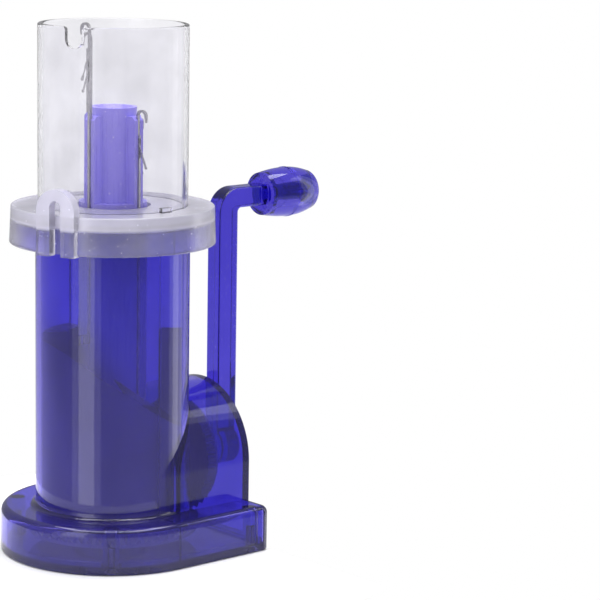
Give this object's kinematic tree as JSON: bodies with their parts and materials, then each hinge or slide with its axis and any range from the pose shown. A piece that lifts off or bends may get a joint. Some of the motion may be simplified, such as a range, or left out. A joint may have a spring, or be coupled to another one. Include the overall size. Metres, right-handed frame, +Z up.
{
  "type": "cord knitting mill",
  "caption": "Hand-cranked cord knitting mill: a crank turns a slotted needle cylinder inside a column, under a clear shield with a yarn guide.",
  "frame": {"origin": "centre of the cord outlet in the underside, on the axis of the needle cylinder", "axes": "+Z up along the column, +X along the crank's shaft, away from the column"},
  "size_m": [0.1161, 0.0698, 0.165],
  "materials": {
    "violet_clear": "glossy translucent",
    "violet_solid": "glossy",
    "clear_frosted": "lightly frosted plastic",
    "clear_tube": "clear plastic",
    "gear_nylon": "satin",
    "needle_steel": "polished wire",
    "screw_steel": "zinc plated"
  },
  "bodies": {
    "housing": {"housing_rear_shell": "violet_clear", "housing_crank_shell": "violet_clear", "bottom_cover": "violet_clear", "cover_screws": "screw_steel", "cam_sleeve": "violet_solid", "cap_ring": "clear_frosted", "needle_shield": "clear_tube"},
    "crank": {"crank_arm": "violet_clear", "crank_gear": "gear_nylon", "crank_gear_screw": "screw_steel"},
    "knob": {"knob": "violet_clear"},
    "cylinder": {"needle_cylinder": "violet_solid", "cylinder_gear": "gear_nylon"},
    "needle_1": {"needle_1": "needle_steel", "latch_rivet_1": "needle_steel"},
    "latch_1": {"latch_1": "needle_steel"},
    "needle_2": {"needle_2": "needle_steel", "latch_rivet_2": "needle_steel"},
    "latch_2": {"latch_2": "needle_steel"},
    "needle_3": {"needle_3": "needle_steel", "latch_rivet_3": "needle_steel"},
    "latch_3": {"latch_3": "needle_steel"},
    "needle_4": {"needle_4": "needle_steel", "latch_rivet_4": "needle_steel"},
    "latch_4": {"latch_4": "needle_steel"}
  },
  "joints": [
    {"name": "crank_turn", "type": "hinge", "parent": "housing", "child": "crank", "pos_m": [0.04, 0, 0.0263], "axis": [1, 0, 0], "continuous": true},
    {"name": "cylinder_turn", "type": "hinge", "parent": "housing", "child": "cylinder", "pos_m": [0, 0, 0.0263], "axis": [0, 0, 1], "continuous": true},
    {"name": "knob_spin", "type": "hinge", "parent": "crank", "child": "knob", "pos_m": [0.072, 0, 0.1075], "axis": [1, 0, 0], "continuous": true},
    {"name": "needle_1_slide", "type": "slide", "parent": "cylinder", "child": "needle_1", "axis": [0, 0, 1], "range_m": [-0.0007, 0.0292]},
    {"name": "latch_1_swing", "type": "hinge", "parent": "needle_1", "child": "latch_1", "pos_m": [0.01028, 0.00172, 0.12473], "axis": [0.165, -0.9863, 0], "range_deg": [-10, 124]},
    {"name": "needle_2_slide", "type": "slide", "parent": "cylinder", "child": "needle_2", "axis": [0, 0, 1], "range_m": [-0.03, 0]},
    {"name": "latch_2_swing", "type": "hinge", "parent": "needle_2", "child": "latch_2", "pos_m": [-0.00172, 0.01028, 0.154], "axis": [0.9863, 0.165, 0], "range_deg": [-10, 124]},
    {"name": "needle_3_slide", "type": "slide", "parent": "cylinder", "child": "needle_3", "axis": [0, 0, 1], "range_m": [-0.0281, 0.0018]},
    {"name": "latch_3_swing", "type": "hinge", "parent": "needle_3", "child": "latch_3", "pos_m": [-0.01028, -0.00172, 0.15219], "axis": [-0.165, 0.9863, 0], "range_deg": [-10, 124]},
    {"name": "needle_4_slide", "type": "slide", "parent": "cylinder", "child": "needle_4", "axis": [0, 0, 1], "range_m": [-0.0047, 0.0252]},
    {"name": "latch_4_swing", "type": "hinge", "parent": "needle_4", "child": "latch_4", "pos_m": [0.00172, -0.01028, 0.12878], "axis": [-0.9863, -0.165, 0], "range_deg": [-10, 124]}
  ],
  "couplings": [
    {"joint": "cylinder_turn", "follows": "crank_turn", "ratio": 0.66667}
  ]
}
